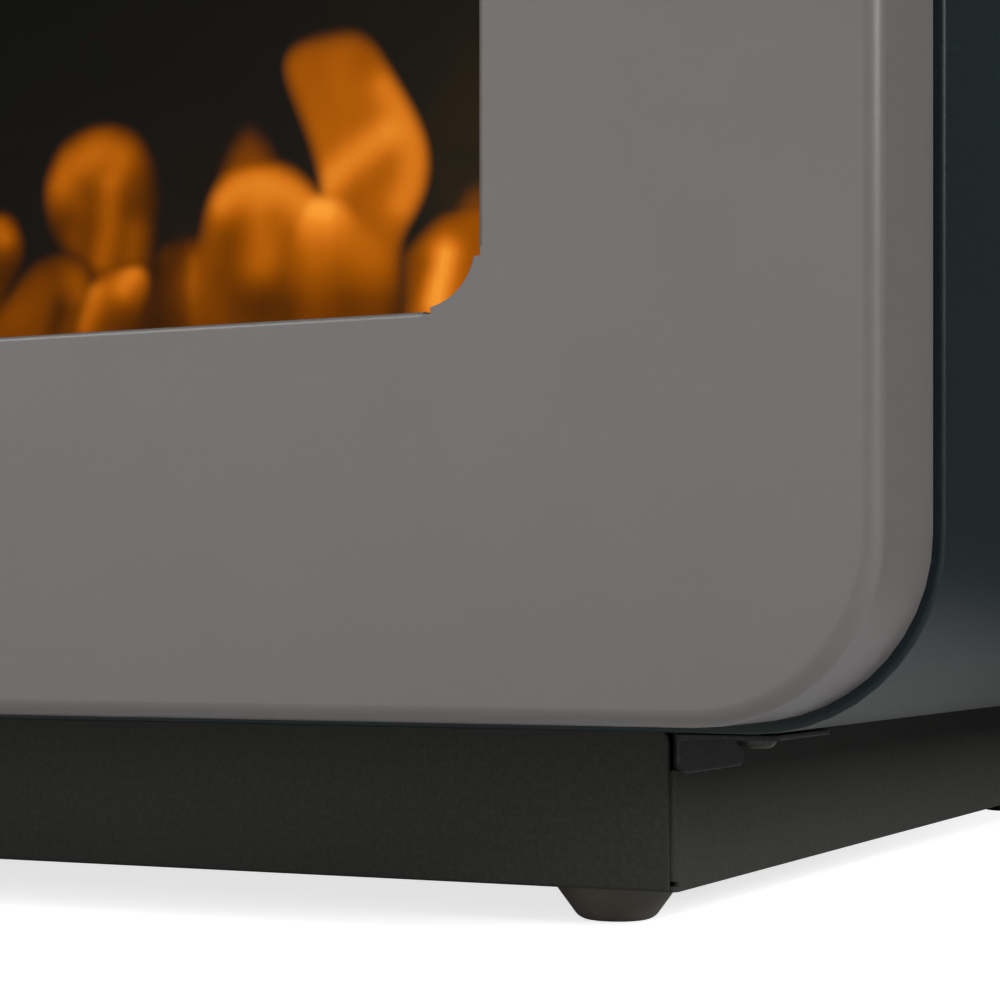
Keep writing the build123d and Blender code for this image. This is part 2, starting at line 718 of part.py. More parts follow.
# ---- spill tray under the burner -----------------------------------------------------------
with BuildPart() as spill_tray:
    with BuildSketch(Plane.XY.offset(spill_bottom)):
        with Locations((0, tank_middle)):
            RectangleRounded(2 * (tank_half + spill_margin), tank_length + 2 * spill_margin, spill_corner)
    extrude(amount=spill_height)
    offset(amount=-spill_sheet, openings=spill_tray.faces().sort_by(Axis.Z)[-1])
save(spill_tray, "spill_tray")

# ---- burner --------------------------------------------------------------------------------
with BuildPart() as burner_tank:
    with BuildSketch(Plane.XY.offset(tank_bottom)):
        with Locations((0, tank_middle)):
            RectangleRounded(2 * tank_half, tank_length, tank_corner)
    extrude(amount=tank_height)
    offset(amount=-burner_sheet, openings=burner_tank.faces().sort_by(Axis.Z)[-1])
save(burner_tank, "burner_tank")

plate_length = 2 * (tank_half + burner_plate_margin)
plate_depth = tank_length + 2 * burner_plate_margin

with BuildPart() as burner_top_plate:
    with BuildSketch(Plane.XY.offset(hearth_top)):
        with Locations((0, tank_middle)):
            RectangleRounded(plate_length, plate_depth, burner_plate_corner)
        with Locations((0, slot_middle)):
            SlotOverall(slot_length, slot_width, mode=Mode.SUBTRACT)
        with Locations(*rail_points):
            Circle(rail_screw_radius, mode=Mode.SUBTRACT)
    extrude(amount=burner_plate_sheet)
save(burner_top_plate, "burner_top_plate")

filling_length = 2 * (tank_half - burner_sheet - wool_gap)
filling_depth = tank_length - 2 * (burner_sheet + wool_gap)
filling_corner = tank_corner - burner_sheet - wool_gap

with BuildPart() as ceramic_wool:
    with BuildSketch(Plane.XY.offset(tank_bottom + burner_sheet)):
        with Locations((0, tank_middle)):
            RectangleRounded(filling_length, filling_depth, filling_corner)
    extrude(amount=wool_height)
save(ceramic_wool, "ceramic_wool")

grille_bottom = tank_bottom + burner_sheet + wool_height
grille_columns = int((slot_length - slot_width) // grille_pitch_x)

with BuildPart() as wool_grille:
    with BuildSketch(Plane.XY.offset(grille_bottom)):
        with Locations((0, tank_middle)):
            RectangleRounded(filling_length, filling_depth, filling_corner)
        with Locations((0, slot_middle)):
            with GridLocations(grille_pitch_x, grille_pitch_y, grille_columns, grille_rows):
                Circle(grille_hole_radius, mode=Mode.SUBTRACT)
    extrude(amount=grille_sheet)
save(wool_grille, "wool_grille")

# ---- guide rails of the regulator cover ----------------------------------------------------
rail_rise = rail_height + rail_sheet
rail_cap_x = rail_wall_x + (rail_sheet - rail_lip) / 2

with BuildPart() as slide_rail_right:
    with BuildSketch(upright(rail_front)):
        with Locations((rail_wall_x + rail_foot / 2, plate_top + rail_sheet / 2)):
            Rectangle(rail_foot, rail_sheet)
        with Locations((rail_wall_x + rail_sheet / 2, plate_top + rail_rise / 2)):
            Rectangle(rail_sheet, rail_rise)
        with Locations((rail_cap_x, plate_top + rail_rise - rail_sheet / 2)):
            Rectangle(rail_lip + rail_sheet, rail_sheet)
    extrude(amount=rail_front - rail_rear)
    # an end stop at each end
    with BuildSketch(Plane.XY.offset(plate_top)):
        with Locations((rail_cap_x, rail_front - rail_sheet / 2), (rail_cap_x, rail_rear + rail_sheet / 2)):
            Rectangle(rail_lip + rail_sheet, rail_sheet)
    extrude(amount=rail_rise)
    with BuildSketch(Plane.XY.offset(plate_top)):
        with Locations(*right_side(rail_points)):
            Circle(rail_screw_radius)
    extrude(amount=rail_sheet, mode=Mode.SUBTRACT)
save(slide_rail_right, "slide_rail_right")

with BuildPart() as slide_rail_left:
    mirror(slide_rail_right.part, about=Plane.YZ)
save(slide_rail_left, "slide_rail_left")

with BuildPart() as rail_screws:
    with BuildSketch(Plane.XY.offset(plate_top + rail_sheet)):
        with Locations(*rail_points):
            Circle(rail_screw_head_radius)
    extrude(amount=rail_screw_head_height)
    fillet(rail_screws.faces().group_by(Axis.Z)[-1].edges(), rail_screw_head_height / 2)
    with BuildSketch(Plane.XY.offset(plate_top + rail_sheet)):
        with Locations(*rail_points):
            Circle(rail_screw_radius)
    extrude(amount=-(rail_sheet + burner_plate_sheet))
save(rail_screws, "rail_screws")

# ---- regulator cover, shown open -----------------------------------------------------------
with BuildPart() as regulator_slide:
    with BuildSketch(Plane.XY.offset(slide_bottom)):
        with Locations((0, slide_front + slide_depth / 2)):
            RectangleRounded(slide_length, slide_depth, slide_corner)
    extrude(amount=slide_sheet)
save(regulator_slide, "regulator_slide")

with BuildPart() as pull_lug:
    with BuildSketch(upright(slide_front + lug_setback)):
        with Locations((0, slide_bottom + slide_sheet + lug_height / 2)):
            tab = Rectangle(lug_width, lug_height)
            fillet(tab.vertices().group_by(Axis.Y)[-1], lug_width / 4)
            Circle(lug_hole_radius, mode=Mode.SUBTRACT)
    extrude(amount=-slide_sheet)
save(pull_lug, "pull_lug")
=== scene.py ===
import math

import bpy
import numpy as np
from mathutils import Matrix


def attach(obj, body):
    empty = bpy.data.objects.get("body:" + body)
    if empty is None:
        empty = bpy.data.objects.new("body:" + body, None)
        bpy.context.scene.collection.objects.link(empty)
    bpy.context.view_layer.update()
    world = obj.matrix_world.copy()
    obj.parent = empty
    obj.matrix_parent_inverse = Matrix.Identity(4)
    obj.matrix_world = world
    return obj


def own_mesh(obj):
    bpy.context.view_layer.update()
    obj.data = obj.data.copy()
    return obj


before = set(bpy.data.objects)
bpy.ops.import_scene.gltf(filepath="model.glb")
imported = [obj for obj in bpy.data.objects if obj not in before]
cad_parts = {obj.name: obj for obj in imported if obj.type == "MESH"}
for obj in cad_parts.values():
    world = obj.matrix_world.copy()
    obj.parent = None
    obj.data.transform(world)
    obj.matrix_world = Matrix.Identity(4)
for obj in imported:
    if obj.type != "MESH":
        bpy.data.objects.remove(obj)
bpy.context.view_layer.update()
scene = bpy.context.scene


# ---- camera --------------------------------------------------------------------------------

CAMERA_AT = (0.5604, -0.5681, 0.0564)
CAMERA_TURN = 25.39  # degrees to the left of straight ahead
PICTURE_SIDE = 1000.0  # pixels
FOCAL = 2486.0  # pixels
HORIZON = 622.0  # pixels from the picture's top
SENSOR = 36.0  # mm

lens = bpy.data.cameras.new("camera")
lens.sensor_fit = "HORIZONTAL"
lens.sensor_width = SENSOR
lens.lens = FOCAL / PICTURE_SIDE * SENSOR
lens.shift_y = (HORIZON - PICTURE_SIDE / 2.0) / PICTURE_SIDE
lens.clip_start = 0.01
lens.clip_end = 60.0
camera = bpy.data.objects.new("camera", lens)
camera.location = CAMERA_AT
camera.rotation_euler = (math.radians(90.0), 0.0, math.radians(CAMERA_TURN))
scene.collection.objects.link(camera)
scene.camera = camera


# ---- node trees ----------------------------------------------------------------------------

class Nodes:
    """The node tree of a material or of the sky, with short calls for the nodes used here."""

    def __init__(self, owner, output="ShaderNodeOutputMaterial"):
        owner.use_nodes = True
        self.tree = owner.node_tree
        self.tree.nodes.clear()
        self.output = self.tree.nodes.new(output)

    def new(self, kind, **settings):
        node = self.tree.nodes.new(kind)
        for key, value in settings.items():
            setattr(node, key, value)
        return node

    def link(self, source, target):
        self.tree.links.new(source, target)

    def put(self, socket, value):
        """Sets a socket, or links it where the value is another node's output."""
        if isinstance(value, bpy.types.NodeSocket):
            self.link(value, socket)
        else:
            socket.default_value = value

    def place(self, stretch=(1.0, 1.0, 1.0)):
        """The piece's own coordinates in metres, stretched along the axes."""
        coordinates = self.new("ShaderNodeTexCoord")
        mapping = self.new("ShaderNodeMapping")
        mapping.inputs["Scale"].default_value = stretch
        self.link(coordinates.outputs["Object"], mapping.inputs["Vector"])
        return mapping.outputs["Vector"]

    def axis(self, letter):
        """One of the piece's own coordinates, in metres."""
        split = self.new("ShaderNodeSeparateXYZ")
        self.link(self.place(), split.inputs["Vector"])
        return split.outputs[letter]

    def noise(self, scale, detail=2.0, rough=0.5, stretch=(1.0, 1.0, 1.0), warp=0.0):
        node = self.new("ShaderNodeTexNoise")
        self.link(self.place(stretch), node.inputs["Vector"])
        node.inputs["Scale"].default_value = scale
        node.inputs["Detail"].default_value = detail
        node.inputs["Roughness"].default_value = rough
        node.inputs["Distortion"].default_value = warp
        return node.outputs["Fac"]

    def crystals(self, scale):
        """A tone that is even within each cell of a crystal pattern."""
        cells = self.new("ShaderNodeTexVoronoi")
        self.link(self.place(), cells.inputs["Vector"])
        cells.inputs["Scale"].default_value = scale
        tone = self.new("ShaderNodeSeparateColor")
        self.link(cells.outputs["Color"], tone.inputs["Color"])
        return tone.outputs["Red"]

    def span(self, value, low, high, to_low=0.0, to_high=1.0, smooth=False):
        """The value moved from the range low to high into the range to_low to to_high."""
        node = self.new("ShaderNodeMapRange")
        if smooth:
            node.interpolation_type = "SMOOTHSTEP"
        self.put(node.inputs["Value"], value)
        node.inputs["From Min"].default_value = low
        node.inputs["From Max"].default_value = high
        node.inputs["To Min"].default_value = to_low
        node.inputs["To Max"].default_value = to_high
        return node.outputs["Result"]

    def math(self, how, a, b=0.0):
        node = self.new("ShaderNodeMath", operation=how)
        self.put(node.inputs[0], a)
        self.put(node.inputs[1], b)
        return node.outputs[0]

    def times(self, a, b):
        return self.math("MULTIPLY", a, b)

    def blend(self, share, a, b):
        """Colour b laid over colour a, as far as share says."""
        node = self.new("ShaderNodeMix", data_type="RGBA")
        self.put(node.inputs["Factor"], share)
        self.put(node.inputs["A"], a)
        self.put(node.inputs["B"], b)
        return node.outputs["Result"]

    def ramp(self, factor, stops):
        """A colour picked along stops of (place, colour)."""
        node = self.new("ShaderNodeValToRGB")
        band = node.color_ramp
        while len(band.elements) < len(stops):
            band.elements.new(0.5)
        for element, (at, colour) in zip(band.elements, stops):
            element.position = at
            element.color = colour
        self.link(factor, node.inputs["Fac"])
        return node.outputs["Color"]

    def bump(self, height, strength, distance, normal=None):
        node = self.new("ShaderNodeBump")
        node.inputs["Strength"].default_value = strength
        node.inputs["Distance"].default_value = distance
        self.link(height, node.inputs["Height"])
        if normal is not None:
            self.link(normal, node.inputs["Normal"])
        return node.outputs["Normal"]

    def round_edges(self, radius):
        """The normal with the piece's sharp edges rounded off."""
        node = self.new("ShaderNodeBevel", samples=6)
        node.inputs["Radius"].default_value = radius
        return node.outputs["Normal"]

    def surface(self, colour, roughness, normal=None, **values):
        """Ends a material with one shader. The values are named as its sockets, with _ for a space."""
        shader = self.new("ShaderNodeBsdfPrincipled")
        self.put(shader.inputs["Base Color"], colour)
        self.put(shader.inputs["Roughness"], roughness)
        if normal is not None:
            self.link(normal, shader.inputs["Normal"])
        for key, value in values.items():
            shader.inputs[key.replace("_", " ")].default_value = value
        self.link(shader.outputs["BSDF"], self.output.inputs["Surface"])
        return shader

    def mixed_surface(self, share, first, second):
        """Ends the tree with the second shader laid over the first, as far as share says."""
        mix = self.new("ShaderNodeMixShader")
        self.link(share, mix.inputs["Fac"])
        self.link(first.outputs[0], mix.inputs[1])
        self.link(second.outputs[0], mix.inputs[2])
        self.link(mix.outputs["Shader"], self.output.inputs["Surface"])


def rgb(r, g, b):
    return (r, g, b, 1.0)


def grey(tone):
    return rgb(tone, tone, tone)


# ---- finishes ------------------------------------------------------------------------------

def panel_lacquer(material):
    """Satin lacquer: smooth, with a faint orange peel and hardly any change of tone."""
    n = Nodes(material)
    cloud = n.span(n.noise(5.0, 2.0, 0.5), 0.35, 0.65)
    fine = n.span(n.noise(420.0, 2.0, 0.6), 0.3, 0.7)
    colour = n.blend(cloud, rgb(0.102, 0.0943, 0.0924), rgb(0.107, 0.0993, 0.0974))
    colour = n.blend(n.times(fine, 0.25), colour, rgb(0.0943, 0.0876, 0.0857))
    rough = n.span(n.noise(60.0, 3.0), 0.3, 0.7, 0.30, 0.35)
    peel = n.noise(650.0, 1.0, 0.4)
    normal = n.bump(peel, 0.04, 0.0002, n.round_edges(0.0003))
    n.surface(colour, rough, normal, Specular_IOR_Level=0.31)


def powder_coat(material, dark, light, gloss, rough):
    """Fine-texture powder coat: a tight grain in height and a faint one in tone."""
    n = Nodes(material)
    grain = n.noise(1500.0, 2.0, 0.6)
    flecks = n.span(n.noise(900.0, 2.0, 0.65), 0.42, 0.68)
    cloud = n.span(n.noise(9.0, 3.0), 0.3, 0.7)
    colour = n.blend(n.times(flecks, 0.6), dark, light)
    colour = n.blend(n.times(cloud, 0.25), colour, light)
    normal = n.bump(grain, 0.22, 0.00012, n.round_edges(0.0006))
    n.surface(colour, n.span(grain, 0.3, 0.7, *rough), normal, Specular_IOR_Level=gloss)


def liner_paint(material):
    """Heat-resistant paint with soot above, and a painted warm glow of the flames in brown patches near the
    burner.
    """
    n = Nodes(material)
    grain = n.noise(1100.0, 2.0, 0.6)
    stain_and_glow_patches = n.span(n.noise(14.0, 4.0, 0.6, warp=0.6), 0.4, 0.75)
    # Painted light: the flames' warm glow, painted as brown patches on the liner, strongest low down near
    # the burner.
    low = n.span(n.axis("Z"), 0.105, 0.26, 1.0, 0.0, smooth=True)
    painted_flame_glow = n.times(n.times(stain_and_glow_patches, low), 0.7)
    colour = n.blend(stain_and_glow_patches, rgb(0.0022, 0.0034, 0.0036), rgb(0.0045, 0.0056, 0.0054))
    colour = n.blend(painted_flame_glow, colour, rgb(0.0160, 0.0110, 0.0065))
    rough = n.span(stain_and_glow_patches, 0.0, 1.0, 0.5, 0.66)
    n.surface(colour, rough, n.bump(grain, 0.2, 0.00012), Specular_IOR_Level=0.06)


def stainless_steel(material):
    """Brushed along X, with a straw and blue heat tint by the burner slot."""
    n = Nodes(material)
    brush = n.noise(900.0, 3.0, 0.6, (0.02, 1.0, 1.0))
    from_slot = n.math("ABSOLUTE", n.math("ADD", n.axis("Y"), 0.025))
    near_slot = n.span(from_slot, 0.024, 0.062, 1.0, 0.0, smooth=True)
    ragged = n.times(near_slot, n.span(n.noise(60.0, 3.0), 0.2, 0.8, 0.6, 1.1))
    steel = n.blend(n.span(brush, 0.35, 0.65), rgb(0.50, 0.49, 0.47), rgb(0.60, 0.59, 0.57))
    tint = n.ramp(ragged, [
        (0.0, rgb(0.55, 0.54, 0.52)),
        (0.35, rgb(0.56, 0.46, 0.30)),
        (0.6, rgb(0.40, 0.22, 0.16)),
        (0.8, rgb(0.14, 0.15, 0.28)),
        (1.0, rgb(0.16, 0.15, 0.15)),
    ])
    colour = n.blend(n.times(ragged, 0.8), steel, tint)
    rough = n.span(brush, 0.3, 0.7, 0.26, 0.38)
    n.surface(colour, rough, n.bump(brush, 0.12, 0.00006), Metallic=1.0)


def plated_steel(material, dark, light, scale, rough):
    """Zinc: crystals that differ a little in tone and gloss."""
    n = Nodes(material)
    tone = n.crystals(scale)
    colour = n.blend(tone, dark, light)
    normal = n.bump(n.noise(700.0), 0.1, 0.00008)
    n.surface(colour, n.span(tone, 0.0, 1.0, *rough), normal, Metallic=1.0)


def black_screw(material):
    """Blackened steel with a fine grain."""
    n = Nodes(material)
    grain = n.noise(1400.0, 3.0)
    colour = n.blend(n.span(grain, 0.35, 0.7), rgb(0.024, 0.023, 0.020), rgb(0.050, 0.047, 0.041))
    rough = n.span(grain, 0.3, 0.7, 0.36, 0.5)
    n.surface(colour, rough, n.bump(grain, 0.15, 0.0001), Metallic=0.4)


def foot_rubber(material):
    """Moulded rubber with a matt skin, lighter in patches where it meets the floor."""
    n = Nodes(material)
    grain = n.noise(800.0, 3.0, 0.6)
    # Lighter in patches within 3.5 mm of the floor.
    at_floor = n.span(n.axis("Z"), 0.0, 0.0035, 1.0, 0.0, smooth=True)
    lighter_near_floor = n.times(at_floor, n.span(n.noise(260.0, 3.0), 0.35, 0.7))
    colour = n.blend(n.span(grain, 0.3, 0.7), rgb(0.046, 0.039, 0.029), rgb(0.064, 0.056, 0.043))
    colour = n.blend(n.times(lighter_near_floor, 0.5), colour, rgb(0.075, 0.070, 0.060))
    rough = n.span(grain, 0.3, 0.7, 0.5, 0.62)
    n.surface(colour, rough, n.bump(grain, 0.2, 0.00015), Specular_IOR_Level=0.45)


def ceramic_wool(material):
    """Matted pale fibres, greyed by soot under the slot."""
    n = Nodes(material)
    fibre = n.noise(700.0, 5.0, 0.7, (1.0, 2.6, 1.0), 1.4)
    soot = n.span(n.noise(90.0, 3.0), 0.5, 0.72)
    colour = n.blend(n.span(fibre, 0.3, 0.7), rgb(0.52, 0.49, 0.44), rgb(0.80, 0.78, 0.73))
    colour = n.blend(n.times(soot, 0.6), colour, rgb(0.16, 0.14, 0.12))
    n.surface(colour, 0.95, n.bump(fibre, 0.8, 0.0006), Sheen_Weight=0.3)


# Each CAD finish's function and the values it is called with.
FINISHES = {
    "panel_lacquer": (panel_lacquer, {}),
    "casing_paint": (powder_coat, {
        "dark": rgb(0.0030, 0.0075, 0.0090),
        "light": rgb(0.0070, 0.0145, 0.0165),
        "gloss": 0.23,
        "rough": (0.34, 0.40),
    }),
    "plinth_paint": (powder_coat, {
        "dark": rgb(0.0310, 0.0318, 0.0290),
        "light": rgb(0.0430, 0.0440, 0.0400),
        "gloss": 0.02,
        "rough": (0.42, 0.52),
    }),
    "bracket_paint": (powder_coat, {
        "dark": rgb(0.0170, 0.0170, 0.0160),
        "light": rgb(0.0380, 0.0380, 0.0350),
        "gloss": 0.14,
        "rough": (0.36, 0.46),
    }),
    "liner_paint": (liner_paint, {}),
    "stainless_steel": (stainless_steel, {}),
    "zinc_steel": (plated_steel, {
        "dark": rgb(0.50, 0.50, 0.51),
        "light": rgb(0.66, 0.66, 0.66),
        "scale": 900.0,
        "rough": (0.28, 0.4),
    }),
    "galvanised_steel": (plated_steel, {
        "dark": rgb(0.36, 0.37, 0.38),
        "light": rgb(0.52, 0.53, 0.54),
        "scale": 160.0,
        "rough": (0.38, 0.55),
    }),
    "black_screw": (black_screw, {}),
    "foot_rubber": (foot_rubber, {}),
    "wool": (ceramic_wool, {}),
}

materials = {}
for name, (finish, values) in FINISHES.items():
    materials[name] = bpy.data.materials.new(name)
    finish(materials[name], **values)

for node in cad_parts.values():
    for held in node.material_slots:
        name = held.material.name.split(".")[0]
        if name == "plinth_paint" and node.name.startswith("bracket_"):
            name = "bracket_paint"
        held.material = materials[name]


# ---- flames --------------------------------------------------------------------------------

FLAME_FOOT = 107.4  # mm, just above the burner plate
FOOT_FADE = 18.0  # mm above the foot where a flame is fully dense
FADE_TOP = 150.0  # mm, a flame cools from here down
FADE_BOTTOM = 130.0  # mm, and is coolest here
FOOT_COVER = 0.3  # how dense a flame is at its very foot
TIP_COVER = 0.15  # and at its very tip
RIM_COOLING = 0.06
RIM_WIDTH = 1.3  # of the cooler rim, in widths of the soft edge
SOFT_OUTSIDE = 0.37  # share of the soft edge that lies outside the drawn outline
OUTLINE_POINTS = 120
ROUNDINGS = 3  # how often an outline's corners are smoothed
HALF_THICKNESS = 1.6  # mm, from a flame's middle to its front
RINGS = 56  # from a flame's tip to its foot
COLUMNS = 28  # across a flame, on each of its faces
ROW_START = 128.0  # mm, where the flames seen in the photo end
ROW_END = -288.0
ROW_DEPTHS = [-36.0, -30.0, -24.0, -18.0, -13.0]


def flame_material():
    """Orange fire: the mesh holds how dense and how hot each point is, and the edges are soft."""
    material = bpy.data.materials.new("flame")
    n = Nodes(material)
    cover = n.new("ShaderNodeAttribute", attribute_name="cover").outputs["Fac"]
    heat = n.new("ShaderNodeAttribute", attribute_name="warmth").outputs["Fac"]
    streaks = n.span(n.noise(60.0, 2.0, 0.5, (1.0, 1.0, 0.16), 0.4), 0.3, 0.7, -0.045, 0.045)
    clouds = n.span(n.noise(26.0, 2.0), 0.3, 0.7, -0.03, 0.03)
    heat = n.math("ADD", heat, n.math("ADD", streaks, clouds))
    colour = n.ramp(heat, [
        (0.0, rgb(0.016, 0.006, 0.003)),
        (0.15, rgb(0.075, 0.020, 0.002)),
        (0.30, rgb(0.18, 0.043, 0.0012)),
        (0.45, rgb(0.31, 0.075, 0.0015)),
        (0.60, rgb(0.48, 0.118, 0.0038)),
        (0.75, rgb(0.68, 0.180, 0.010)),
        (0.88, rgb(0.81, 0.240, 0.017)),
        (1.0, rgb(0.98, 0.34, 0.035)),
    ])
    glow = n.new("ShaderNodeEmission")
    n.link(colour, glow.inputs["Color"])
    n.mixed_surface(cover, n.new("ShaderNodeBsdfTransparent"), glow)
    return material


def smooth(t):
    """From 0 to 1 with soft ends."""
    t = np.clip(t, 0.0, 1.0)
    return t * t * (3.0 - 2.0 * t)


def distance_to(points, line):
    """Each point's distance to a broken line."""
    best = np.full(len(points), np.inf)
    for a, b in zip(line[:-1], line[1:]):
        start = np.asarray(a, float)
        run = np.asarray(b, float) - start
        t = np.clip(((points - start) @ run) / max(run @ run, 1e-12), 0.0, 1.0)
        best = np.minimum(best, np.linalg.norm(points - start - t[:, None] * run, axis=1))
    return best


def evenly(line, count, first=0):
    """A broken line as evenly spaced points, without the first few."""
    line = np.asarray(line, float)
    run = np.concatenate([[0.0], np.cumsum(np.linalg.norm(np.diff(line, axis=0), axis=1))])
    at = np.linspace(0.0, run[-1], count + first)[first:]
    return np.stack([np.interp(at, run, line[:, 0]), np.interp(at, run, line[:, 1])], axis=1)


def rounded(line):
    """The line with its corners smoothed and its ends kept."""
    kernel = np.array([1.0, 2.0, 3.0, 2.0, 1.0]) / 9.0
    for _ in range(ROUNDINGS):
        before = 2.0 * line[0] - line[2:0:-1]
        after = 2.0 * line[-1] - line[-2:-4:-1]
        padded = np.concatenate([before, line, after])
        line = np.stack([np.convolve(padded[:, i], kernel, "valid") for i in (0, 1)], axis=1)
    return line


def soft_edge(outline, soft):
    """The outline brought down to the burner and moved out by its share of the soft edge."""
    drawn = [(outline[0][0], FLAME_FOOT), *outline, (outline[-1][0], FLAME_FOOT)]
    line = rounded(evenly(drawn, OUTLINE_POINTS))
    along = np.gradient(line, axis=0)
    along /= np.linalg.norm(along, axis=1)[:, None]
    edge = line + np.stack([-along[:, 1], along[:, 0]], axis=1) * SOFT_OUTSIDE * soft
    edge[:, 1] = np.maximum(edge[:, 1], FLAME_FOOT)
    return edge


def tongue_points(edge, depth):
    """Rings of points from the tip down: as seen from the front, and in space."""
    tip = int(np.argmax(edge[:, 1]))
    left = evenly(edge[tip::-1], RINGS, 1)
    right = evenly(edge[tip:], RINGS, 1)
    angle = np.linspace(0.0, 2.0 * math.pi, 2 * COLUMNS, endpoint=False)
    across = (1.0 - np.cos(angle)) / 2.0
    flat = left[:, None, :] + (right - left)[:, None, :] * across[None, :, None]
    body = HALF_THICKNESS * smooth(np.linspace(0.02, 3.0, RINGS))
    y = depth - body[:, None] * np.sin(angle)[None, :]
    points = np.stack([flat[..., 0], y, flat[..., 1]], axis=2)
    return flat.reshape(-1, 2), points.reshape(-1, 3)


def tongue_faces():
    """The faces between the rings, and the two ends."""
    count = 2 * COLUMNS
    faces = []
    for ring in range(RINGS - 1):
        here = ring * count
        below = here + count
        for column in range(count):
            beside = (column + 1) % count
            faces.append((here + column, here + beside, below + beside, below + column))
    faces.append(tuple(reversed(range(count))))
    faces.append(tuple((RINGS - 1) * count + column for column in range(count)))
    return faces


def flame(name, depth, outline, folds, level, fall, dense=0.8, soft=5.5, wisp=4.0):
    """A tongue of flame. The outline runs from its left foot over the tip to its right foot, as (x, height),
    and folds are brighter or darker lines in it, as (line, width, gain). Level says how hot it looks, fall
    how much cooler it is low down, dense how well it covers what is behind it. Depth is its y, and soft and
    wisp are how far its edge and tip fade. All lengths are in mm."""
    edge = soft_edge(outline, soft)
    flat, points = tongue_points(edge, depth)
    height = flat[:, 1]
    gap = distance_to(flat, edge)
    cover = smooth(gap / soft) * dense
    cover *= TIP_COVER + (1.0 - TIP_COVER) * smooth((edge[:, 1].max() - height) / wisp)
    cover *= FOOT_COVER + (1.0 - FOOT_COVER) * smooth((height - FLAME_FOOT) / FOOT_FADE)
    heat = level - fall * smooth((FADE_TOP - height) / (FADE_TOP - FADE_BOTTOM))
    heat -= RIM_COOLING * (1.0 - smooth(gap / (soft * RIM_WIDTH)))
    for fold, width, gain in folds:
        heat += gain * np.exp(-((distance_to(flat, fold) / width) ** 2) / 2.0)
    mesh = bpy.data.meshes.new(name)
    mesh.from_pydata([tuple(point) for point in points / 1000.0], [], tongue_faces())
    for label, values in (("cover", cover), ("warmth", np.clip(heat, 0.0, 1.0))):
        attribute = mesh.attributes.new(label, "FLOAT", "POINT")
        attribute.data.foreach_set("value", values.astype(np.float32))
    for polygon in mesh.polygons:
        polygon.use_smooth = True
    mesh.materials.append(fire)
    tongue = bpy.data.objects.new(name, mesh)
    scene.collection.objects.link(tongue)
    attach(tongue, "burner")
    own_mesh(tongue)


def row_flame(name, place, tall, chance):
    """A tongue or a low wave. Returns how far to the left of it the next one stands."""
    width = chance.uniform(26.0, 38.0) if tall else chance.uniform(26.0, 46.0)
    height = chance.uniform(66.0, 92.0) if tall else chance.uniform(26.0, 54.0)
    lean = chance.uniform(-12.0, 12.0) if tall else chance.uniform(-6.0, 6.0)
    waist = chance.uniform(0.34, 0.55) if tall else chance.uniform(0.75, 0.95)
    depth = float(chance.choice(ROW_DEPTHS))
    share = np.linspace(0.0, 1.0, 13)  # from the tip down
    bulge = np.sin(math.pi / 2.0 * np.minimum(share / 0.55, 1.0) ** 0.6)
    settle = smooth((share - 0.4) / 0.5)
    half = np.maximum(width / 2.0 * (bulge * (1.0 - settle) + waist * settle), 0.6)
    middle = place + lean * (1.0 - share) ** 1.4
    level_line = FLAME_FOOT + 1.0 + height * (1.0 - share) ** 1.2
    left_side = list(zip(middle - half, level_line))
    right_side = list(zip(middle + half, level_line))
    rim = [left_side[6], left_side[4], left_side[2], right_side[1], right_side[3]]
    rim = [(middle[0] + (x - middle[0]) * 0.6, z - 3.0) for x, z in rim]
    streak_x = middle[5] + chance.uniform(-0.2, 0.3) * width
    streak = [(streak_x, level_line[4]), (middle[9], level_line[9])]
    shade_x = middle[6] - chance.uniform(0.1, 0.3) * width
    shade = [(shade_x, level_line[6]), (shade_x + 1.0, level_line[9])]
    folds = [(rim, 3.4, 0.28), (streak, 2.6, 0.22), (shade, 3.0, -0.08)]
    heat = float(chance.uniform(0.26, 0.42))
    flame(name, depth, left_side[::-1] + right_side[1:], folds, level=heat, fall=0.15)
    return width * chance.uniform(0.62, 0.8)


fire = flame_material()

# The flames seen in the photo.
flame("flame_low_back", -12, [
    (191, 131), (192, 142), (198, 148), (209, 151), (225, 152), (271, 152), (281, 150),
    (290, 148), (296, 146), (299, 129),
], [
    ([(269, 143), (269, 138)], 3.8, -0.10),
], level=0.46, dense=0.20, fall=0.19, soft=8.2, wisp=7)
flame("flame_faint_back", -10, [
    (212, 133), (212, 167), (214, 173), (218, 182), (223, 188), (229, 181), (233, 170),
    (235, 162), (235, 131),
], [
    ([(225, 179), (224, 172)], 3.8, 0.05),
], level=0.32, dense=0.59, fall=0.60, soft=7.1, wisp=15)
flame("flame_faint_right", -14, [
    (285, 129), (285, 154), (286, 160), (288, 164), (290, 166), (293, 166), (296, 163),
    (297, 157), (297, 128),
], [], level=0.46, dense=0.28, fall=0.06, soft=6.0, wisp=8)
flame("flame_dim", -16, [
    (196, 133), (196, 144), (197, 150), (199, 154), (203, 156), (211, 158), (214, 156),
    (217, 152), (220, 146), (221, 140), (221, 132),
], [
    ([(208, 152), (212, 150)], 3.3, -0.06),
    ([(211, 150), (211, 144), (213, 136)], 2.4, 0.27),
    ([(199, 148), (199, 136)], 3.0, -0.11),
    ([(216, 145), (218, 137)], 2.7, 0.36),
], level=0.25, dense=0.64, fall=0.08, soft=6.0, wisp=6)
flame("flame_far_left", -20, [
    (143, 136), (143, 155), (144, 161), (146, 166), (150, 168), (154, 167), (157, 164),
    (158, 161), (159, 157), (158, 153), (154, 147), (152, 143), (151, 135),
], [
    ([(151, 162), (153, 160)], 3.0, 0.39),
], level=0.15, fall=-0.08, soft=5.4, wisp=5)
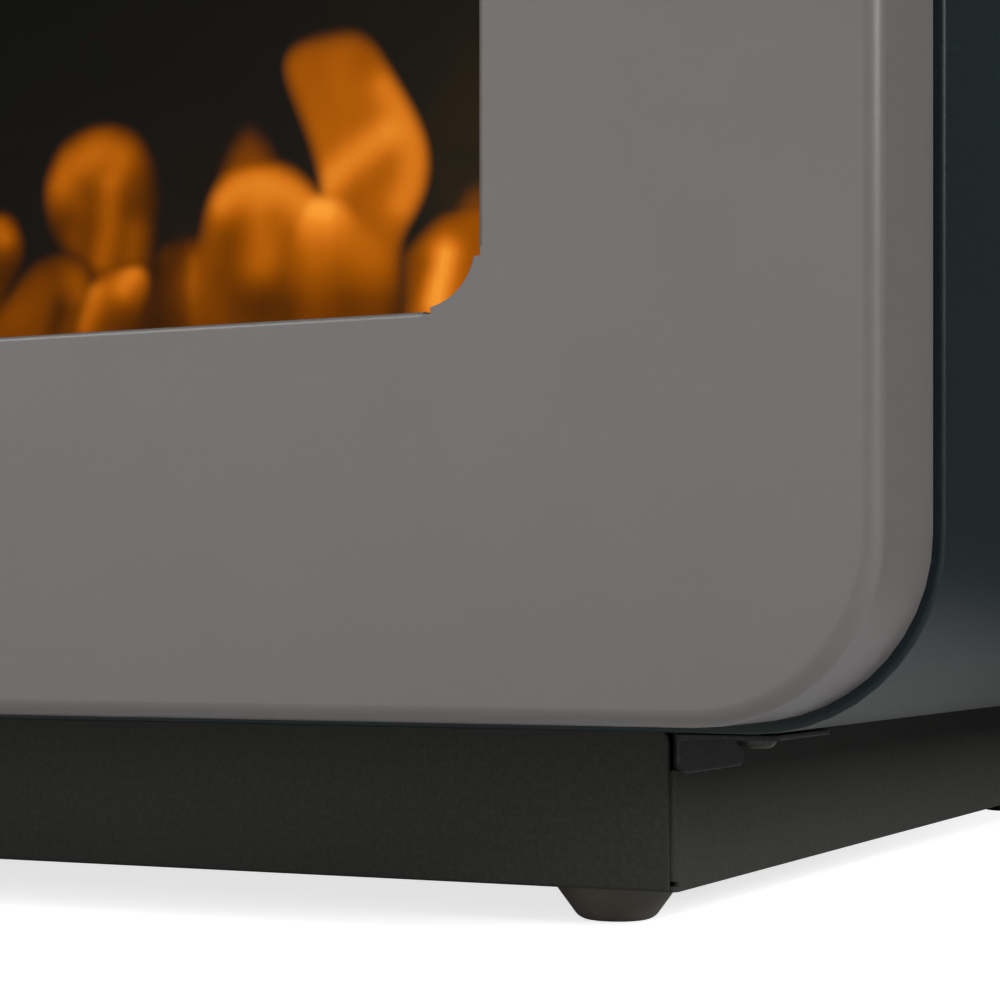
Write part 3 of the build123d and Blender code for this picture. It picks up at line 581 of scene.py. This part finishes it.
flame("flame_tall", -24, [
    (258, 129), (257, 139), (252, 169), (249, 178), (242, 194), (241, 198), (242, 201),
    (245, 203), (260, 205), (264, 204), (267, 201), (279, 182), (283, 173), (283, 169),
    (283, 165), (280, 158), (275, 152), (274, 148), (272, 128),
], [
    ([(254, 165), (257, 168), (261, 171), (266, 174), (271, 177)], 3.2, 0.36),
    ([(271, 189), (274, 185), (277, 180), (279, 174), (279, 169), (278, 164), (276, 160)], 3.5, 0.28),
    ([(246, 195), (249, 188), (251, 182), (253, 176), (254, 170)], 2.9, 0.05),
    ([(257, 197), (259, 188), (260, 180)], 3.7, 0.03),
    ([(262, 199), (267, 193)], 3.5, -0.04),
], level=0.50, fall=0.60, soft=5.3, wisp=10)
flame("flame_bulb", -26, [
    (186, 132), (186, 143), (184, 148), (176, 154), (173, 158), (170, 167), (170, 171),
    (171, 175), (173, 179), (175, 182), (179, 184), (184, 186), (188, 187), (193, 186),
    (197, 184), (200, 182), (204, 175), (205, 165), (202, 131),
], [
    ([(175, 171), (179, 176), (184, 178), (189, 179), (194, 177)], 4.8, 0.42),
    ([(191, 170), (191, 160), (189, 151)], 2.7, 0.32),
    ([(183, 164), (181, 159), (181, 155)], 3.2, 0.08),
    ([(199, 167), (200, 162)], 2.9, 0.04),
    ([(199, 157), (198, 152)], 2.7, 0.19),
    ([(175, 168), (177, 162)], 2.4, -0.07),
], level=0.19, fall=0.06, soft=6.4, wisp=5)
flame("flame_dome", -30, [
    (218, 130), (220, 150), (223, 163), (227, 169), (230, 171), (233, 172), (238, 172),
    (242, 172), (246, 171), (252, 166), (255, 163), (257, 159), (258, 151), (258, 128),
], [
    ([(228, 163), (232, 166), (237, 167), (242, 166), (247, 164), (251, 161)], 4.0, 0.46),
    ([(238, 159), (239, 153), (239, 146)], 3.7, 0.24),
    ([(231, 157), (229, 151), (227, 144)], 3.2, -0.07),
    ([(246, 156), (245, 148)], 2.6, 0.07),
    ([(235, 137), (247, 136)], 4.2, -0.06),
], level=0.38, fall=0.13, soft=6.3, wisp=5)
flame("flame_low_left", -36, [
    (158, 129), (160, 135), (170, 146), (173, 149), (181, 152), (185, 152), (188, 150),
    (191, 147), (192, 143), (187, 128),
], [
    ([(168, 137), (172, 139), (176, 143)], 3.9, 0.07),
    ([(183, 137), (181, 132)], 2.6, -0.14),
    ([(187, 145), (189, 141)], 2.9, 0.16),
], level=0.23, fall=-0.09, soft=5.7, wisp=4)
flame("flame_low_mid", -40, [
    (188, 127), (190, 134), (192, 138), (194, 142), (201, 146), (209, 147), (211, 145),
    (212, 142), (211, 138), (205, 127),
], [
    ([(207, 144), (205, 141)], 2.9, 0.36),
    ([(196, 140), (195, 136), (193, 132)], 2.9, 0.32),
], level=0.54, fall=0.33, soft=5.2, wisp=4)
flame("flame_centre", -34, [
    (248, 128), (248, 141), (250, 152), (251, 157), (254, 160), (256, 162), (260, 162),
    (262, 161), (265, 158), (276, 148), (278, 144), (279, 139), (279, 127),
], [
    ([(256, 159), (260, 158)], 4.6, 0.42),
    ([(265, 144), (265, 137)], 3.1, -0.04),
    ([(252, 146), (251, 136)], 3.1, -0.05),
    ([(269, 134), (276, 133)], 3.7, -0.04),
], level=0.59, dense=0.95, fall=0.35, soft=6.8, wisp=5)
flame("flame_right", -38, [
    (284, 127), (285, 145), (287, 148), (293, 153), (297, 154), (306, 155), (309, 153),
    (310, 149), (310, 139), (308, 125),
], [
    ([(295, 144), (294, 140), (293, 137), (292, 133)], 2.9, 0.57),
    ([(291, 148), (296, 150), (302, 151)], 3.4, 0.05),
    ([(287, 134), (289, 141)], 2.3, -0.11),
], level=0.40, fall=-0.09, soft=5.7, wisp=4)

# Along the rest of the slot every fourth flame is a tall one, and each is a little different.
chance = np.random.default_rng(11)
place = ROW_START
number = 0
while place > ROW_END:
    number += 1
    place -= row_flame(f"flame_row_{number:02d}", place, number % 4 == 1, chance)


# ---- floor, light and air ------------------------------------------------------------------

FLOOR_HALF = 9.0


def floor():
    """White to the camera. As a light and in reflections it is grey in front and dark behind."""
    material = bpy.data.materials.new("floor")
    n = Nodes(material)
    behind = n.span(n.axis("Y"), -0.08, 0.26, smooth=True)
    front_tone = n.blend(n.span(n.noise(40.0, 3.0), 0.3, 0.7), grey(0.66), grey(0.68))
    shader = n.surface(n.blend(behind, front_tone, grey(0.10)), 0.7, Specular_IOR_Level=0.1)
    shader.inputs["Emission Color"].default_value = grey(1.0)
    to_camera = n.new("ShaderNodeLightPath").outputs["Is Camera Ray"]
    whitening = n.span(behind, 0.0, 1.0, 0.75, 0.92)
    n.link(n.times(to_camera, whitening), shader.inputs["Emission Strength"])
    corners = [(x * FLOOR_HALF, y * FLOOR_HALF, 0.0) for x, y in ((-1, -1), (1, -1), (1, 1), (-1, 1))]
    mesh = bpy.data.meshes.new("floor")
    mesh.from_pydata(corners, [], [(0, 1, 2, 3)])
    mesh.materials.append(material)
    ground = bpy.data.objects.new("floor", mesh)
    scene.collection.objects.link(ground)


def sky():
    """Pale to the camera. As a light it is soft in front and above, and low behind."""
    world = bpy.data.worlds.new("studio")
    scene.world = world
    n = Nodes(world, "ShaderNodeOutputWorld")
    split = n.new("ShaderNodeSeparateXYZ")
    n.link(n.new("ShaderNodeTexCoord").outputs["Generated"], split.inputs["Vector"])
    front = n.span(split.outputs["Y"], -0.9, 0.25, 0.40, 0.05, smooth=True)
    above = n.span(split.outputs["Z"], 0.5, 0.95, 0.0, 0.20, smooth=True)
    light = n.new("ShaderNodeBackground")
    light.inputs["Color"].default_value = grey(1.0)
    n.link(n.math("ADD", front, above), light.inputs["Strength"])
    shown = n.new("ShaderNodeBackground")
    shown.inputs["Color"].default_value = grey(0.90)
    n.mixed_surface(n.new("ShaderNodeLightPath").outputs["Is Camera Ray"], light, shown)


def soft_box(name, at, energy, aim, width, height):
    """A rectangular lamp that faces the point it is aimed at."""
    data = bpy.data.lights.new(name, "AREA")
    data.energy = energy
    data.shape = "RECTANGLE"
    data.size = width
    data.size_y = height
    away = np.array(at) - np.array(aim)
    away = away / np.linalg.norm(away)
    level = math.hypot(away[0], away[1])
    box = bpy.data.objects.new(name, data)
    box.location = at
    box.rotation_euler = (math.atan2(level, away[2]), 0.0, math.atan2(away[0], -away[1]))
    scene.collection.objects.link(box)


def fire_glow(name, x, energy):
    """A warm lamp above the burner. Reflections don't show it."""
    data = bpy.data.lights.new(name, "POINT")
    data.energy = energy
    data.color = (1.0, 0.45, 0.10)
    data.shadow_soft_size = 0.05
    glow = bpy.data.objects.new(name, data)
    glow.location = (x, 0.06, 0.18)
    glow.visible_glossy = False
    scene.collection.objects.link(glow)


floor()
sky()
soft_box("front_box", (-0.7, -2.4, 0.25), 20.0, aim=(0.2, -0.19, 0.05), width=2.0, height=1.4)
soft_box("right_box", (2.4, -0.7, 1.2), 62.0, aim=(0.45, -0.1, 0.15), width=1.4, height=1.0)
soft_box("high_box", (-0.9, -1.3, 1.6), 26.0, aim=(0.3, -0.2, 0.1), width=1.2, height=1.0)
soft_box("back_box", (-1.2, 2.8, 1.3), 22.0, aim=(0.0, 0.19, 0.3), width=2.0, height=1.4)
for number, (x, energy) in enumerate(((-0.24, 0.4), (-0.08, 0.2), (0.08, 0.12), (0.27, 2.6)), 1):
    fire_glow(f"fire_glow_{number}", x, energy)
scene.view_settings.view_transform = "Standard"
scene.view_settings.look = "None"
scene.cycles.transparent_max_bounces = 48
